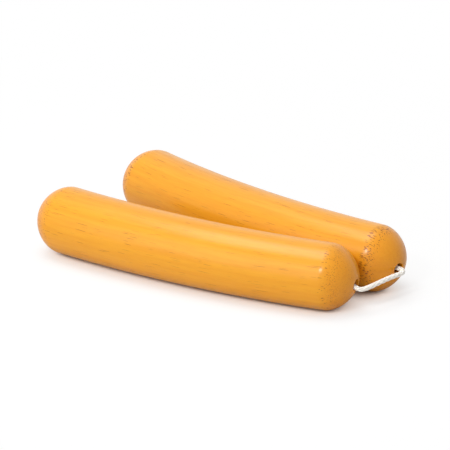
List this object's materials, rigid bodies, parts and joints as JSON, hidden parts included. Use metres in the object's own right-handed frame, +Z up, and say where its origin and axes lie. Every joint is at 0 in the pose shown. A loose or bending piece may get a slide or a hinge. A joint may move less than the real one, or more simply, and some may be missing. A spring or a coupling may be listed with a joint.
{
  "type": "claves",
  "caption": "Gently bowed round wooden claves with domed ends, lying in a V and joined tip to tip by a short cord.",
  "frame": {"origin": "on the floor, in the middle of the ground that the two sticks cover as they lie", "axes": "+Z up; +X to the right along the pair's longest extent, towards the tips that the cord joins; +Y away from the side whose long sticks bow outwards"},
  "size_m": [0.206, 0.1781, 0.038],
  "materials": {
    "stained_wood": "satin",
    "cord_braid": "matt braided"
  },
  "bodies": {
    "front_stick": {"front_clave": "stained_wood", "front_knot": "cord_braid"},
    "front_cord": {"front_cord_half": "cord_braid"},
    "rear_cord": {"rear_cord_half": "cord_braid"},
    "rear_stick": {"rear_clave": "stained_wood", "rear_knot": "cord_braid"}
  },
  "joints": [
    {"name": "front_swing", "type": "hinge", "parent": "front_stick", "child": "front_cord", "pos_m": [0.0783, -0.07865, 0.0147], "axis": [0, 0, 1], "range_deg": [-65, 0], "deforming": ["front_cord_half"]},
    {"name": "cord_twist", "type": "hinge", "parent": "front_cord", "child": "rear_cord", "pos_m": [0.0894, -0.06968, 0.01585], "axis": [0.6975, 0.7144, 0.0562], "range_deg": [-90, 90]},
    {"name": "rear_swing", "type": "hinge", "parent": "rear_cord", "child": "rear_stick", "pos_m": [0.1009, -0.0563, 0.0164], "axis": [0, 0, 1], "range_deg": [-100, 0], "deforming": ["rear_cord_half"]}
  ]
}
